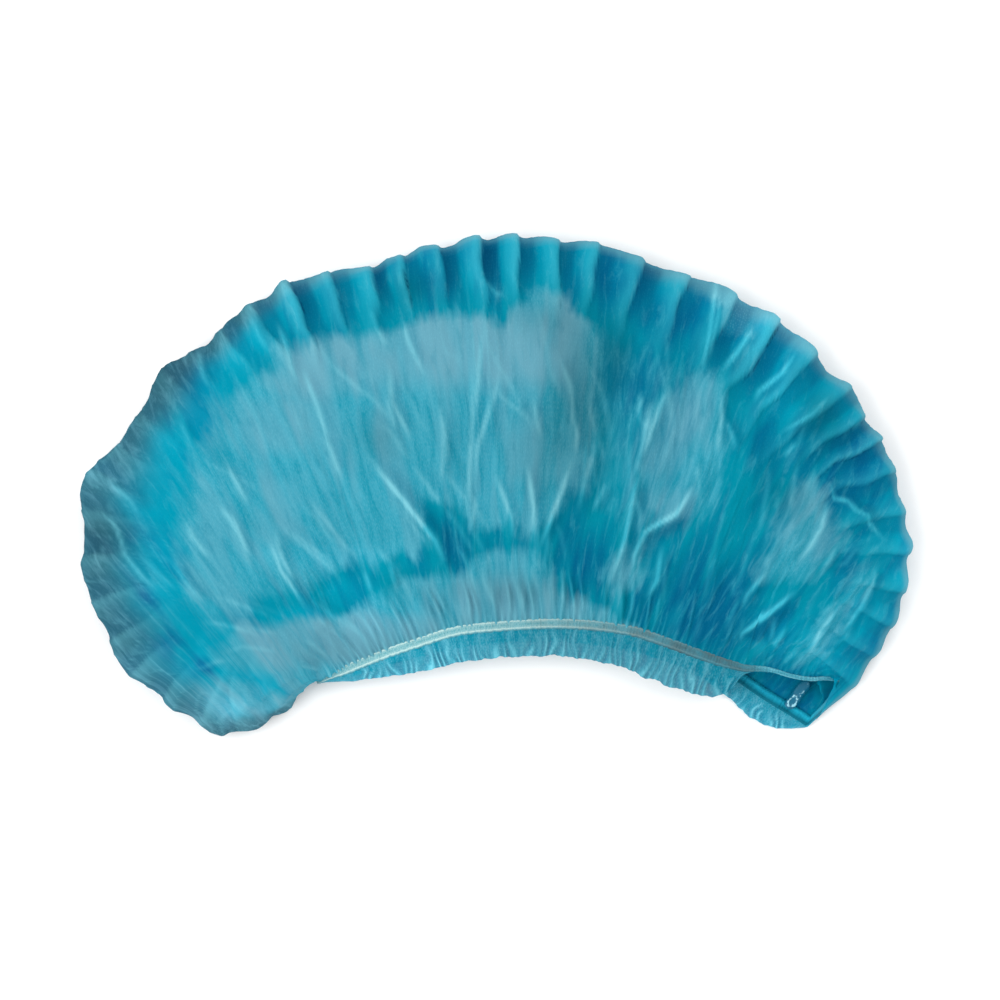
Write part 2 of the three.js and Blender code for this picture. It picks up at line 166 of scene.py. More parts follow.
# The sharp folds of the upper cloth in plan: height, width, the line of the fold.
RIDGES = [
    (2.6, 3, [(-51, 14), (-46, 6), (-32, -11), (-24, -21), (-21, -28), (-23, -34)]),
    (1, 1.6, [(-42, -29), (-39, -43)]),
    (1.2, 1.8, [(-10, -1), (-8, -8), (-11, -21)]),
    (1.5, 2.2, [(-1, 7), (6, -12), (7, -24)]),
    (2, 2.2, [(12, 11), (15, -8), (15, -24)]),
    (2.2, 2.4, [(31, 14), (26, -2), (20, -17), (16, -27)]),
    (1.3, 2, [(44, 2), (38, -11)]),
    (2.4, 2.8, [(60, 12), (55, 0), (51, -20), (44, -43)]),
    (2.6, 3, [(81, 4), (71, -11), (59, -18), (55, -27), (54, -40)]),
    (1.8, 2.4, [(66, -22), (64, -37), (59, -46)]),
    (1, 1.6, [(-6, 83), (0, 76), (5, 74)]),
    (1.4, 2.4, [(-5, 63), (-7, 41), (-9, 24)]),
    (1.3, 2.2, [(-38, 70), (-35, 58), (-27, 41)]),
    (1.2, 2, [(-43, 37), (-39, 20)]),
    (1.2, 2, [(-21, 25), (-19, 9)]),
    (1.2, 2, [(14, 36), (18, 17)]),
    (1.5, 2, [(29, 33), (32, 20), (31, 11)]),
    (1.2, 2, [(57, 37), (56, 24)]),
    (1.6, 2.4, [(69, 42), (62, 24), (57, 9)]),
    (2, 2.6, [(89, 88), (82, 46), (76, 41)]),
    (1.4, 1.8, [(-119, 55), (-116, 43), (-112, 37)]),
    (1.6, 2, [(-99, 70), (-93, 58), (-88, 50)]),
    (1.6, 2, [(-88, 67), (-84, 58), (-81, 47), (-77, 37)]),
    (1.4, 2.2, [(-78, 50), (-71, 33), (-64, 11)]),
    (1.4, 2.2, [(-51, 74), (-47, 62), (-42, 53)]),
    (1.2, 2, [(-126, 27), (-119, 13)]),
    (1.6, 2.2, [(-69, 24), (-64, 11), (-60, 0)]),
    (1.3, 2, [(-21, 24), (-20, 13), (-22, 0)]),
    (1.4, 2, [(-42, 49), (-41, 33), (-32, 16)]),
    (1.4, 2, [(-107, 10), (-102, 1), (-97, -9)]),
    (1.4, 2, [(-110, -6), (-104, -14), (-100, -24)]),
    (1.4, 2, [(-88, -16), (-84, -29), (-78, -39)]),
    (1, 1.6, [(-42, -31), (-39, -40)]),
    (1, 1.6, [(-52, -33), (-49, -43)]),
    (1.4, 2.2, [(-123, -13), (-119, -21), (-112, -30)]),
    (1.6, 2, [(-105, -8), (-99, -24), (-96, -33)]),
    (1.8, 2.2, [(-90, -18), (-85, -33), (-77, -45), (-73, -51)]),
    (1.3, 3, [(-154, 2), (-144, -6), (-139, -15)]),
    (1.4, 3, [(-161, -6), (-151, -15), (-147, -27), (-139, -37), (-129, -43)]),
    (1, 2.6, [(-144, -24), (-134, -34), (-124, -43)]),
    (1.4, 2, [(-129, -27), (-122, -38), (-113, -49)]),
    (2.6, 3.2, [(120, -40), (109, -49), (98, -58), (97, -64)]),
    (1.6, 2.2, [(108, -32), (100, -42), (97, -49)]),
    (1.8, 2.2, [(155, -28), (150, -33), (148, -41), (140, -54), (133, -62)]),
    (1.8, 4, [(138, -44), (130, -55), (122, -70)]),
    (1.6, 3, [(132, -3), (128, -17), (119, -32)]),
    (1.4, 3, [(135, -24), (128, -34)]),
    (1, 1.6, [(116, -55), (111, -62), (113, -66)]),
    (1.8, 2.6, [(89, 81), (88, 67), (83, 47)]),
    (2.2, 3, [(104, 65), (95, 52), (88, 44)]),
    (2, 2.4, [(121, 55), (113, 44), (104, 37), (101, 30)]),
    (2.2, 3.2, [(136, 39), (125, 28), (111, 20)]),
    (1.4, 2.4, [(147, 27), (142, 23)]),
    (1.5, 2, [(89, 40), (89, 27), (87, 11)]),
    (1.2, 2, [(90, 27), (93, 20), (95, 13)]),
    (1.2, 2.6, [(120, 18), (113, 11)]),
    (1.3, 2.8, [(-9.5, 51), (-9, 27), (-10.5, 3), (-11.5, -19)]),
    (1.3, 2.8, [(3.5, 49), (-2, 31), (-7.5, 15), (-8, -5)]),
    (1.2, 2.8, [(23.5, 55), (29.5, 39), (31, 23), (30.5, 11)]),
    (1.2, 2.8, [(-22.5, 35), (-20, 19), (-21.5, -1)]),
    (1.2, 3, [(41.5, 23), (35.5, 3), (31.5, -13)]),
    (1.4, 3, [(61.5, 35), (57.5, 15), (51.5, -5)]),
    (1.8, 2.4, [(127, 4), (132, 0), (134, -5), (139, -6), (142, -10), (146, -12), (149, -16),
                (153, -21), (159, -23)]),
]

# Outlines, in plan, of the parts of the crown where its cloth is not gathered double: how
# plainly it shows there that it is single, and how soft the edge is on the left and right.
SINGLE_CLOTH = [
    (1, 8, 3.5, [
        (-119, -45), (-122, -31), (-124, -15), (-122, 3), (-117, 12), (-112, 24), (-106, 33),
        (-89, 45), (-87, 54), (-67, 59), (-47, 60), (-36, 65), (-17, 67), (-6, 69), (2, 65),
        (8, 70), (13, 77), (29, 77), (31, 69), (38, 64), (42, 57), (42, 36), (38, 20), (41, 8),
        (37, -2), (29, -2), (21, -15), (11, -21), (5, -7), (-3, -21), (-9, -17), (-17, -6),
        (-26, -7), (-31, -31), (-37, -21), (-47, -33), (-55, -29), (-63, -33), (-75, -40),
        (-89, -40), (-99, -48), (-110, -56)]),
    (0.3, 6, 6, [
        (40, 62), (61, 50), (79, 45), (87, 40), (92, 20), (91, -5), (86, -14), (70, -20),
        (60, -24), (50, -16), (44, -6), (36, 0), (36, 30)]),
    (0.75, 5, 4, [
        (58, 30), (66, 37), (75, 43), (87, 45), (91, 30), (90, 8), (87, -7), (78, -13),
        (66, -16), (59, -9), (58, 4), (56, 18)]),
    (0.75, 5, 5, [
        (44, -36), (50, -24), (54, -28), (57, -20), (60, -30), (55, -40), (48, -46)]),
    (1, 4, 3.5, [
        (-112, -70), (-101, -53), (-95, -55), (-75, -53), (-63, -50), (-51, -47), (-35, -37),
        (-23, -33), (-15, -34), (-3, -26), (11, -24), (20, -30), (29, -44), (40, -49),
        (52, -55), (58, -58), (40, -58), (0, -60), (-40, -72), (-70, -86), (-100, -74)]),
    (1, 5, 5, [
        (-124, -79), (-110, -75), (-90, -80), (-78, -80), (-80, -90), (-95, -99), (-112, -103),
        (-124, -96)]),
    (0.85, 7, 4.5, [
        (118, 5), (125, 4), (131, -5), (136, -17), (130, -31), (121, -36), (106, -36),
        (107, -26), (112, -12)]),
    (0.75, 4, 4, [
        (78, 87), (90, 84), (102, 76), (107, 69), (99, 60), (92, 62), (86, 73)]),
    (0.7, 4, 4, [
        (150, -28), (146, -40), (138, -53), (131, -67), (121, -71), (125, -57), (134, -46),
        (142, -31)]),
]

# Where the doubled cloth is gathered thickest: x, y, how far it spreads, how much.
THICKEST = [
    (80, -50, 25, 0.9), (60, -45, 12, 0.7), (36, -30, 14, 0.7), (-16, -24, 11, 0.6),
    (145, 8, 21, 1), (112, 48, 18, 0.15), (72, 66, 18, 0.6), (98, 22, 12, 0.6),
    (-30, 88, 16, 0.7), (12, 90, 14, 0.5), (50, 82, 16, 0.7), (-120, 50, 13, 0.6),
    (-130, -62, 6, 1), (-116, -71, 5, 1), (-144, -20, 5, 0.8), (-139, -44, 5, 0.8),
    # The row at (116, -83), inside the mouth's right corner, paints the shade there as well as its
    # layers.
    (116, -83, 13, 1), (150, -64, 10, 0.5), (52, 40, 18, 1), (-122, 34, 11, 0.1),
    (150, -48, 9, 0.4), (140, -30, 7, 0.5),
]

# Where the single cloth shows greyish lilac, not blue: x, y, spread across and up, how much.
LILAC = [
    (-8, 56, 44, 17, 1), (-66, 48, 24, 14, 0.8), (-108, 26, 16, 16, 0.2), (28, 68, 12, 14, 0.7),
    (-60, -62, 44, 11, 1), (8, -48, 34, 12, 0.7), (-102, -90, 24, 14, 0.6), (76, 28, 13, 16, 0.5),
    (126, -14, 14, 22, 0.5), (52, -34, 8, 14, 0.7), (60, -68, 60, 9, 0.8),
    (-86, -10, 12, 16, 0.35), (-52, 20, 12, 16, 0.3), (14, 14, 14, 16, 0.35),
    (68, -12, 12, 12, 0.6), (96, -34, 14, 10, 0.4), (-88, 24, 14, 12, 0.5), (66, 18, 14, 20, 0.3),
]

# Patches painted lighter or darker than round about, partly where the cloth is thinner or lies in
# more layers, partly painted light and painted shade of the dome's slopes: x, y, spread across and
# up, how much lighter or darker.
SHADES = [
    (34, 34, 13, 36, -0.46), (17, 12, 10, 22, -0.22), (49, 54, 8, 12, -0.22),
    (129, 26, 9, 13, -0.25), (10, -41, 20, 7, -0.15), (-155, -22, 11, 12, -0.26),
    (-132, -32, 9, 12, 0.1), (-98, 55, 12, 6, 0.12), (-31, 79, 9, 9, -0.28),
    (113, -4, 9, 8, -0.2), (-47, 19, 9, 10, -0.2), (-127, -60, 9, 9, -0.15),
    (-130, 42, 14, 10, -0.18), (18, 66, 14, 9, -0.16), (-20, 20, 24, 20, -0.08),
    (121, 62, 10, 10, 0.25), (93, -76, 8, 5, 0.35), (-62, -77, 12, 6, 0.4),
    (-107, -91, 32, 9, 0.37), (-58, -42, 13, 7, 0.4), (-48, -54, 20, 8, 0.2),
    (-55, -29, 28, 6, 0.18), (113, 36, 9, 16, 0.3), (113, -58, 10, 12, 0.25),
    (131, -70, 10, 14, 0.22), (146, -52, 10, 16, 0.15), (163, -30, 7, 17, 0.22),
    (98, 66, 12, 12, 0.3), (-157, 6, 8, 10, 0.25), (-140, -76, 12, 12, 0.3),
]

# How far the slack grey edge reaches in from the rim, for a place along it.
SLACK_WIDTH = [(0, 1), (0.04, 5), (0.08, 12), (0.13, 20), (0.19, 23), (0.24, 20), (0.29, 14),
               (0.34, 9), (0.42, 4), (0.5, 1.5), (0.6, 2), (0.64, 5), (0.71, 5), (0.78, 3),
               (0.86, 2), (0.94, 2), (1, 1)]


# ---- small maths
def through(rows, samples_per_span=160):
    """A centripetal Catmull-Rom line through rows, as (share of its length, points)."""
    rows = np.asarray(rows, float)
    ends = np.vstack([2 * rows[0] - rows[1], rows, 2 * rows[-1] - rows[-2]])
    pieces = []
    for k in range(len(rows) - 1):
        p0, p1, p2, p3 = ends[k:k + 4]
        d0, d1, d2 = (np.linalg.norm(b - a) ** 0.5 for a, b in ((p0, p1), (p1, p2), (p2, p3)))
        m1 = ((p1 - p0) / d0 - (p2 - p0) / (d0 + d1) + (p2 - p1) / d1) * d1
        m2 = ((p2 - p1) / d1 - (p3 - p1) / (d1 + d2) + (p3 - p2) / d2) * d1
        t = np.linspace(0, 1, samples_per_span, endpoint=False)[:, None]
        pieces.append((2 * t**3 - 3 * t**2 + 1) * p1 + (t**3 - 2 * t**2 + t) * m1
                      + (-2 * t**3 + 3 * t**2) * p2 + (t**3 - t**2) * m2)
    points = np.vstack(pieces + [rows[-1:]])
    step = np.linalg.norm(np.diff(points[:, :3], axis=0), axis=1)
    share = np.concatenate([[0], np.cumsum(step)]) / step.sum()
    return share, points


def at(line, share):
    """The points at some shares of a line's length."""
    columns = [np.interp(share, line[0], line[1][:, k]) for k in range(line[1].shape[1])]
    return np.stack(columns, -1)


def course(line, share, reach=0.006):
    """The level direction along a line."""
    ahead, behind = (at(line, np.clip(share + step, 0, 1))[..., :2] for step in (reach, -reach))
    way = ahead - behind
    return way / np.linalg.norm(way, axis=-1, keepdims=True)


def right_of(way):
    """The level direction square to a course, on its right."""
    return np.stack([way[..., 1], -way[..., 0]], -1)


def smooth(low, high, x):
    """0 up to low, 1 from high on, and an even curve between."""
    t = np.clip((x - low) / (high - low), 0, 1)
    return t * t * (3 - 2 * t)


def eased(place, table, column):
    """A table's column at a place, eased from row to row."""
    table = np.asarray(table, float)
    k = np.clip(np.searchsorted(table[:, 0], place, "right") - 1, 0, len(table) - 2)
    part = smooth(0, 1, (place - table[k, 0]) / (table[k + 1, 0] - table[k, 0]))
    return table[k, column] * (1 - part) + table[k + 1, column] * part


def noise(x, y, seed):
    """Gradient noise from about -1 to 1, one unit a cell. Each use has a seed of its own."""
    angle = np.random.default_rng(seed).random((256, 256)) * 2 * np.pi
    xi, yi = np.floor(x).astype(int), np.floor(y).astype(int)
    xf, yf = x - xi, y - yi

    def corner(dx, dy):
        a = angle[(xi + dx) % 256, (yi + dy) % 256]
        return np.cos(a) * (xf - dx) + np.sin(a) * (yf - dy)
    u, v = (f * f * f * (f * (f * 6 - 15) + 10) for f in (xf, yf))
    low = corner(0, 0) * (1 - u) + corner(1, 0) * u
    high = corner(0, 1) * (1 - u) + corner(1, 1) * u
    return 1.5 * (low * (1 - v) + high * v)


def creases(x, y, seed):
    """Sharp crests on broad troughs, from 0 to 1, as crumpled cloth has them."""
    return (1 - np.abs(noise(x, y, seed))) ** 3


def to_segment(x, y, a, b):
    """Distance from points to a segment, the side they are on, and the part along it."""
    dx, dy = b[0] - a[0], b[1] - a[1]
    part = np.clip(((x - a[0]) * dx + (y - a[1]) * dy) / (dx * dx + dy * dy), 0, 1)
    ex, ey = x - a[0] - part * dx, y - a[1] - part * dy
    return np.hypot(ex, ey), np.sign(ex * dy - ey * dx), part


def depth_inside(x, y, outline):
    """Distance to an outline, above zero inside it."""
    best = np.full(x.shape, 1e9)
    inside = np.zeros(x.shape, bool)
    for a, b in zip(outline, outline[1:] + outline[:1]):
        best = np.minimum(best, to_segment(x, y, a, b)[0])
        crosses = (a[1] > y) != (b[1] > y)
        with np.errstate(divide="ignore", invalid="ignore"):
            inside ^= crosses & (x < (b[0] - a[0]) * (y - a[1]) / (b[1] - a[1]) + a[0])
    return np.where(inside, best, -best)


rim, front_run, back_run = (through([[value * MM for value in row] for row in table])
                            for table in (RIM, FRONT_RUN, BACK_RUN))


def mouth_share(along):
    """The place on the mouth that the cloth at a place on the rim comes from."""
    left, right = MOUTH_CROWDING
    crowding = left + (right - left) * smooth(0.3, 0.8, along)
    return along - crowding * np.sin(2 * np.pi * along) / (2 * np.pi)


# ---- the crown's cloth
def section_rows(samples=40, reach_weight=4):
    """The section's rows as four columns: reach, lift, back and tuck."""
    table = np.array([row[:4] for row in SECTION])
    table[:, 0] *= reach_weight
    knots = np.concatenate([[0], np.cumsum([row[4] for row in SECTION[:-1]])]).astype(float)
    rows = np.arange(int(knots[-1]) + 1, dtype=float)
    points = through(table, samples)[1]
    picked = np.interp(rows, knots, np.arange(len(table)) * samples)
    columns = np.stack([np.interp(picked, np.arange(len(points)), points[:, k]) for k in range(4)])
    columns[0] /= reach_weight
    return columns


def way_to_rim(run, share, reach, rim_point):
    """Plan points on the way from a mouth line to the rim, and how long that way is."""
    start = at(run, share)[..., :2]
    out = right_of(course(run, share))
    distance = np.linalg.norm(rim_point - start, axis=-1)
    bend = start - FOLD_BEND * distance[..., None] * out
    r = reach[..., None]
    return (1 - r) ** 2 * start + 2 * r * (1 - r) * bend + r ** 2 * rim_point, distance


def cloth_base(along, reach, lift, back):
    """Points of the smooth cloth, its puff and its distance from mouth to rim."""
    share, rim_point = mouth_share(along), at(rim, along)
    front_plan, front_way = way_to_rim(front_run, share, reach, rim_point)
    back_plan, back_way = way_to_rim(back_run, share, reach, rim_point)
    b = back[..., None]
    plan = front_plan * (1 - b) + back_plan * b
    distance = front_way * (1 - back) + back_way * back
    puff = 1 - np.exp(-distance / PUFF_REACH)
    height = CROWN_HEIGHT * puff * np.maximum(lift, 0)
    height += at(front_run, share)[..., 2] * (1 - np.clip(reach, 0, 1)) ** 2 * (1 - back)
    return np.concatenate([plan, height[..., None]], -1), puff, distance


def foot_on_rim(plan, along):
    """The place on the rim nearest to plan points, and how far away it is."""
    foot = along.copy()
    for _ in range(8):
        away = plan - at(rim, foot)
        foot = np.clip(foot + 0.7 * np.sum(away * course(rim, foot), -1) / RIM_LENGTH, 0, 1)
    away = plan - at(rim, foot)
    return foot, np.linalg.norm(away, axis=-1)


def normals_of(points):
    """The directions square to a grid of points."""
    n = np.cross(np.gradient(points, axis=0), np.gradient(points, axis=1))
    return n / np.maximum(np.linalg.norm(n, axis=-1, keepdims=True), 1e-12)


def loose_ridges():
    """Small folds that fan from the mouth to the rim, scattered by chance."""
    rng = np.random.default_rng(77)
    found = []
    for _ in range(LOOSE_RIDGES):
        along = rng.uniform(0.06, 0.95)
        start = rng.uniform(0.05, 0.72)
        reach = np.linspace(start, start + rng.uniform(0.12, 0.3), 4)
        drift = along + np.cumsum(rng.normal(0, 0.004, 4))
        plan = cloth_base(drift, reach, reach * 0, reach * 0)[0][:, :2] / MM
        found.append((rng.uniform(0.3, 0.8), rng.uniform(1.8, 3.2), [tuple(p) for p in plan]))
    return found


def ridge_field(x, y):
    """Height, crest mark for painted highlight and shade mark for painted shade of every sharp
    fold, at plan points in millimetres.

    A fold rises gently on its left and drops on its right, which lies in its shade."""
    height, crest_highlight, shade = (np.zeros(x.shape) for _ in range(3))
    for tall, wide, line in RIDGES + loose_ridges():
        lengths = [np.hypot(b[0] - a[0], b[1] - a[1]) for a, b in zip(line, line[1:])]
        total, done = sum(lengths), 0.0
        near = np.full(x.shape, 1e9)
        right, part = np.zeros(x.shape), np.zeros(x.shape)
        for (a, b), length in zip(zip(line, line[1:]), lengths):
            d, side, t = to_segment(x, y, a, b)
            if b[1] < a[1]:
                side = -side
            closer = d < near
            near = np.where(closer, d, near)
            right = np.where(closer, side > 0, right)
            part = np.where(closer, (done + t * length) / total, part)
            done += length
        taper = smooth(0, 0.35, part) * smooth(0, 0.35, 1 - part)
        strength = tall / PLAIN_RIDGE
        fall = wide * np.where(right > 0, 0.8, 2.4)
        height += 0.5 * tall * taper * np.exp(-(np.sqrt(near ** 2 + 0.8) - 0.9) / fall)
        crest_highlight = np.maximum(crest_highlight, RIDGE_MARKS[0] * strength * taper * np.exp(-near ** 2))
        shaded = np.exp(-((near - 1.2 * wide) / (1.1 * wide)) ** 2) * right
        shade = np.maximum(shade, strength * taper * shaded)
    return height, crest_highlight, shade


class Cloth:
    """The crown's smooth cloth on its grid, and what its folds add to it.

    Its first axis runs along the rim, its second from the front elastic to the back one."""

    def __init__(self):
        shape = (STATIONS + 1, section_rows().shape[1])
        reach, lift, back, tuck = (np.broadcast_to(row, shape) for row in section_rows())
        along = np.broadcast_to(np.linspace(0, 1, STATIONS + 1)[:, None], shape)
        _, self.puff, self.distance = cloth_base(along, reach, lift, back)
        depth = np.interp(along, [a for a, _ in TUCK_DEPTH], [d * MM for _, d in TUCK_DEPTH])
        uneven = 1 + 0.30 * noise(along * 22, 3.1, 11) + 0.22 * noise(along * 60, 0.0, 12)
        depth = depth * uneven
        reach = reach - tuck * (depth / np.maximum(self.distance, 8 * MM) - TUCK_DRAWN)
        self.along, self.back, self.share = along, back, mouth_share(along)
        self.reach = np.clip(reach, 0, 1.01)
        self.base = cloth_base(along, self.reach, lift, back)[0]
        self.foot, self.to_rim = foot_on_rim(self.base[..., :2], along)
        self.lower = smooth(0.8, 1.0, back)
        self.upper = 1 - smooth(0.05, 0.4, back)
        self.slack = 1 - smooth(0.27, 0.40, self.foot)
        fan = np.arctan2(self.base[..., 1] - FAN_CENTRE[1], self.base[..., 0] - FAN_CENTRE[0])
        self.fan = (FAN_FROM - fan) / FAN_TURN
        self.bend = (0.010 * noise(self.fan * 9, self.reach * 2.2, 41)
                     + 0.0035 * noise(self.fan * 30, self.reach * 6, 42))
        self.ray = 1 + self.fan + self.bend
        self.rise, self.crest_highlight, self.groove_shade = (np.zeros(shape) for _ in range(3))

    def fold(self, rise, crest_highlight=0.0, groove_shade=0.0):
        """Add height, and mark crests for painted highlight and grooves for painted shade, where
        they show more than before.
        """
        self.rise = self.rise + rise
        self.crest_highlight = np.maximum(self.crest_highlight, crest_highlight)
        self.groove_shade = np.maximum(self.groove_shade, groove_shade)


def rim_pleats(c):
    """Fold the packing pleats along the rim. Returns how fully each point lies in them."""
    wander = 0.0025 * noise(c.foot * 34, c.to_rim / (14 * MM), 21) * c.to_rim / (12 * MM)
    turn = np.interp(c.foot + wander, GROOVES, np.arange(len(GROOVES))) + GROOVE_MIDDLE
    number = np.floor(turn)
    part = turn - number
    length = (24 + 9 * smooth(0.55, 0.66, c.foot) * smooth(0.86, 0.76, c.foot)) * MM
    length = length * (1 + 0.3 * noise(number * 2.3, 1.5, 23))
    band = np.exp(-(c.to_rim / length) ** 3) * smooth(-3 * MM, 3 * MM, c.to_rim) * c.puff
    unequal = 0.75 + 0.5 * noise(number * 3.7, 0.5, 22)
    pleat = band * unequal * eased(c.foot, PLEAT_STRENGTH, 1) * (1 - 0.75 * c.lower)
    c.fold(PLEAT_HEIGHT * eased(part, PLEAT, 1) * pleat,
           PLEAT_MARKS[0] * eased(part, PLEAT, 2) * pleat,
           PLEAT_MARKS[1] * eased(part, PLEAT, 3) * pleat)
    return band


def mouth_gathers(c):
    """Fold the crimps at the elastic, and the longer folds that they run together into."""
    share, reach = c.share, c.reach
    calmer = 1 - 0.7 * smooth(0.58, 0.74, share)
    crimp = np.sin(2 * np.pi * (CRIMPS * share + 0.6 * noise(share * 40, reach * 3, 31)))
    fades = 8 * MM * (1 + 0.8 * noise(share * 70, 0.0, 33))
    near = np.exp(-reach * c.distance / fades) * (0.8 + 0.4 * noise(share * 55, reach * 2, 32))
    near = near * smooth(0, 0.03, share) * smooth(0, 0.03, 1 - share) * calmer
    c.fold(CRIMP_HEIGHT * crimp * near,
           CRIMP_MARKS[0] * smooth(0.2, 1, crimp) * near * c.upper,
           CRIMP_MARKS[1] * smooth(0.1, 1, -crimp) * near * c.upper)
    gather = np.sin(2 * np.pi * (GATHERS * share + 0.9 * noise(share * 30, reach * 2.2, 34)))
    run_in = np.exp(-((reach * c.distance - GATHER_PLACE) / GATHER_SPREAD) ** 2)
    run_in = run_in * (0.7 + 0.6 * noise(share * 30, reach * 3, 35)) * smooth(0, 0.05, 1 - share)
    run_in = run_in * smooth(0, 0.05, share) * c.puff * calmer
    c.fold(GATHER_HEIGHT * gather * run_in,
           GATHER_MARKS[0] * smooth(0.4, 1, gather) * run_in * c.upper,
           GATHER_MARKS[1] * smooth(0.2, 1, -gather) * run_in * c.upper)


def sharp_folds(c):
    """Fold the named and the loose ridges of the upper cloth."""
    tall, sharp, shade = ridge_field(c.base[..., 0] / MM, c.base[..., 1] / MM)
    c.fold(tall * MM * c.upper * smooth(0, 0.5, c.puff), sharp * c.upper,
           RIDGE_MARKS[1] * shade * c.upper)


def fan_creases(c, band):
    """Fold the creases that radiate from the mouth, and soft crumples between them."""
    a, reach, x, y = c.ray, c.reach, c.base[..., 0], c.base[..., 1]
    body = smooth(0.02, 0.30, reach) * c.puff
    big = noise(a * 24, reach * 1.6, 43)
    middle = creases(a * 62, reach * 3.2, 45) * (0.6 + 0.6 * noise(a * 14, reach * 3, 46))
    fine = creases(a * 130, reach * 9, 47)
    crumple = creases(x * 110, y * 80 + 5 * c.back, 48)
    calm = 1 - 0.55 * np.clip(band, 0, 1)
    all_over = BROAD * big + MIDDLE * middle + FINE * fine + CRUMPLED * crumple
    c.fold(body * c.upper * calm * all_over * MM,
           CREASE_MARKS[0] * smooth(0.6, 1.0, middle) * body * c.upper,
           CREASE_MARKS[1] * smooth(0.1, 0.9, -big) * body * c.upper)
    below = c.lower * (MIDDLE_BELOW * middle + FINE_BELOW * fine) * MM
    c.fold(-below * smooth(0.02, 0.2, reach))
    limp = np.exp(-(c.to_rim / (22 * MM)) ** 2) * c.slack
    wrinkles = creases(x * 120 + 4 * c.along, y * 80, 49)
    c.fold(limp * c.upper * LIMP_HEIGHT * MM * wrinkles,
           LIMP_MARK * limp * c.upper * smooth(0.75, 1.0, wrinkles))


def ovals(x, y, table, power):
    """A field for each row of a table, which fades outward from its strength to 0."""
    return [strength * np.exp(-((x - cx) / wide) ** power - ((y - cy) / high) ** power)
            for cx, cy, wide, high, strength in table]


def cloth_marks(c):
    """What the crown's material needs to know of each point."""
    x, y = c.base[..., 0] / MM, c.base[..., 1] / MM
    x = x + 2.2 * noise(x / 9, y / 9, 51) + 0.9 * noise(x / 3, y / 3, 52)
    streak = noise(c.ray * 48, c.reach * 1.8, 53) + 0.6 * noise(c.ray * 120, c.reach * 3.5, 54)
    ragged = (1.4 * streak + 3.0 * noise(x / 14, y / 14, 56)) * smooth(0, 0.1, c.reach)
    single = np.zeros(x.shape)
    for strength, soft_left, soft_right, outline in SINGLE_CLOTH:
        inside = depth_inside(x, y, outline) + ragged
        soft = soft_left + (soft_right - soft_left) * smooth(-110, -60, x)
        single = np.maximum(single, strength * smooth(-soft, soft, inside))
    thick = np.maximum.reduce([
        strength * np.exp(-((x - cx) ** 2 + (y - cy) ** 2) / spread ** 2)
        for cx, cy, spread, strength in THICKEST])
    slack_reach = eased(c.foot, SLACK_WIDTH, 1) * (1 + 0.25 * noise(c.foot * 40, 0.0, 55))
    near_rim = np.exp(-(c.to_rim / ((20 + 30 * c.slack) * MM)) ** 2)
    return {"single": single, "thick": thick, "crest_highlight": c.crest_highlight,
            "groove_shade": c.groove_shade * (1 - 0.5 * single),
            "slack": np.exp(-(c.to_rim / MM / slack_reach) ** 3),
            "left": 1 - smooth(0.36, 0.46, c.foot), "rim": np.maximum(near_rim, c.lower),
            "streak": streak, "lilac": np.maximum.reduce(ovals(x, y, LILAC, 4)),
            "shades": sum(ovals(x, y, SHADES, 2)) * c.upper}


def crown_sheet():
    c = Cloth()
    band = rim_pleats(c)
    mouth_gathers(c)
    sharp_folds(c)
    fan_creases(c, band)
    edge = eased(c.along, RIM_EDGE, 1) * MM * np.exp(-c.to_rim / (7 * MM))
    points = c.base + normals_of(c.base) * c.rise[..., None]
    points[..., :2] -= right_of(course(rim, c.along)) * edge[..., None]
    points[..., 2] = np.maximum(points[..., 2], FLOOR_CLEARANCE)
    points[..., :2] += CENTRE
    across = np.linalg.norm(np.diff(c.base, axis=1), axis=-1).mean(0)
    w = np.concatenate([[0], np.cumsum(across)]) / across.sum()
    return grid_mesh("crown_cloth", points, (c.fan + 0.5 * c.bend) * FLAT_LENGTH,
                     w * FLAT_WIDTH, cloth_marks(c))


def new_object(name, data):
    piece = bpy.data.objects.new(name, data)
    bpy.context.scene.collection.objects.link(piece)
    return piece


def grid_mesh(name, points, u, v, marks, closed=False):
    """A mesh of quads on a grid of points, with uv and marks on them; closed joins its ends."""
    ni, nj = points.shape[:2]
    index = np.arange(ni * nj).reshape(ni, nj)
    if closed:
        index = np.vstack([index, index[:1]])
    corners = [index[:-1, :-1], index[1:, :-1], index[1:, 1:], index[:-1, 1:]]
    quads = np.stack(corners, -1).reshape(-1, 4)
    mesh = bpy.data.meshes.new(name)
    mesh.from_pydata(points.reshape(-1, 3).tolist(), [], quads.tolist())
    uv = mesh.uv_layers.new(name="cloth")
    loops = np.stack([np.broadcast_to(u, (ni, nj)).ravel()[quads.ravel()],
                      np.broadcast_to(v, (ni, nj)).ravel()[quads.ravel()]], -1)
    uv.data.foreach_set("uv", loops.ravel())
    for key, value in marks.items():
        layer = mesh.attributes.new(key, "FLOAT", "POINT")
        values = np.broadcast_to(value, (ni, nj)).astype(np.float32)
        layer.data.foreach_set("value", np.ascontiguousarray(values).ravel())
    mesh.polygons.foreach_set("use_smooth", [True] * len(mesh.polygons))
    mesh.update()
    return new_object(name, mesh)


